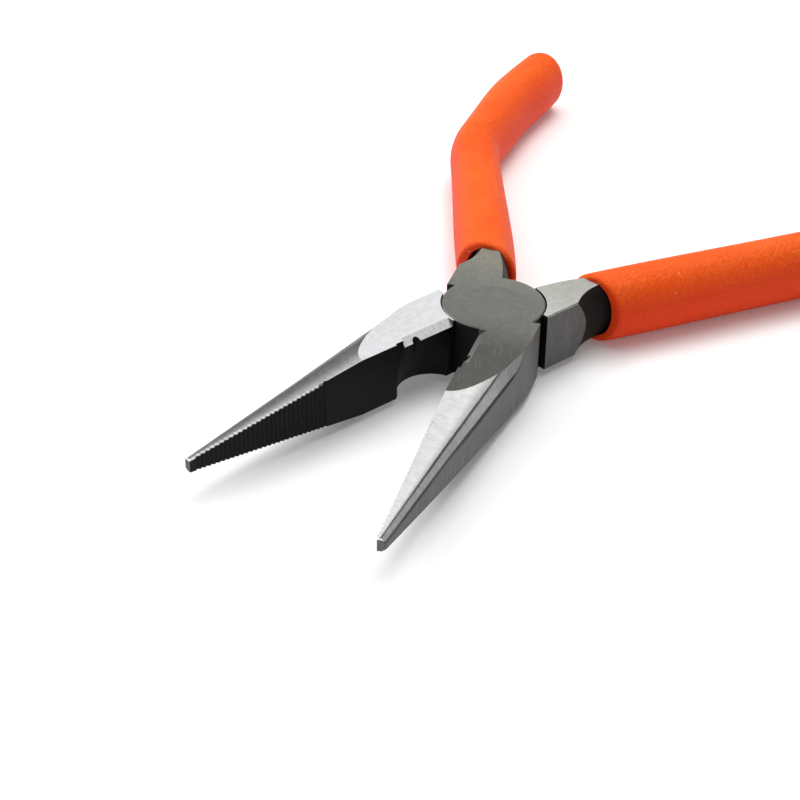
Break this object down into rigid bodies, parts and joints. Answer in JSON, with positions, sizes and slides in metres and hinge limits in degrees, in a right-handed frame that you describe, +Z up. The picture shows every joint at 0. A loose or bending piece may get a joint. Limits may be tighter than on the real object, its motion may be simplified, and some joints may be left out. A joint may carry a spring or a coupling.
{
  "type": "needle nose pliers",
  "caption": "Long nose pliers with a flush riveted lap joint, serrated tapering jaws, side cutters and orange slip-on grips.",
  "frame": {"origin": "centre of the rivet's lower end face, on the pivot axis at the joint's underside", "axes": "+X to the jaw tips along the bisector of the jaws, +Y to the upper lever's jaw, +Z up along the pivot axis"},
  "size_m": [0.1544, 0.098, 0.0124],
  "materials": {
    "forged_steel": "ground and brushed, black forging scale on the tangs",
    "rivet_steel": "ground flush",
    "grip_vinyl": "fine matte grain"
  },
  "bodies": {
    "upper_half": {"lever_upper": "forged_steel", "pivot_rivet": "rivet_steel", "grip_upper": "grip_vinyl"},
    "lower_half": {"lever_lower": "forged_steel", "grip_lower": "grip_vinyl"}
  },
  "joints": [
    {"name": "jaw_pivot", "type": "hinge", "parent": "upper_half", "child": "lower_half", "pos_m": [0, 0, 0.005], "axis": [0, 0, 1], "range_deg": [-13.5, 31.4]}
  ]
}
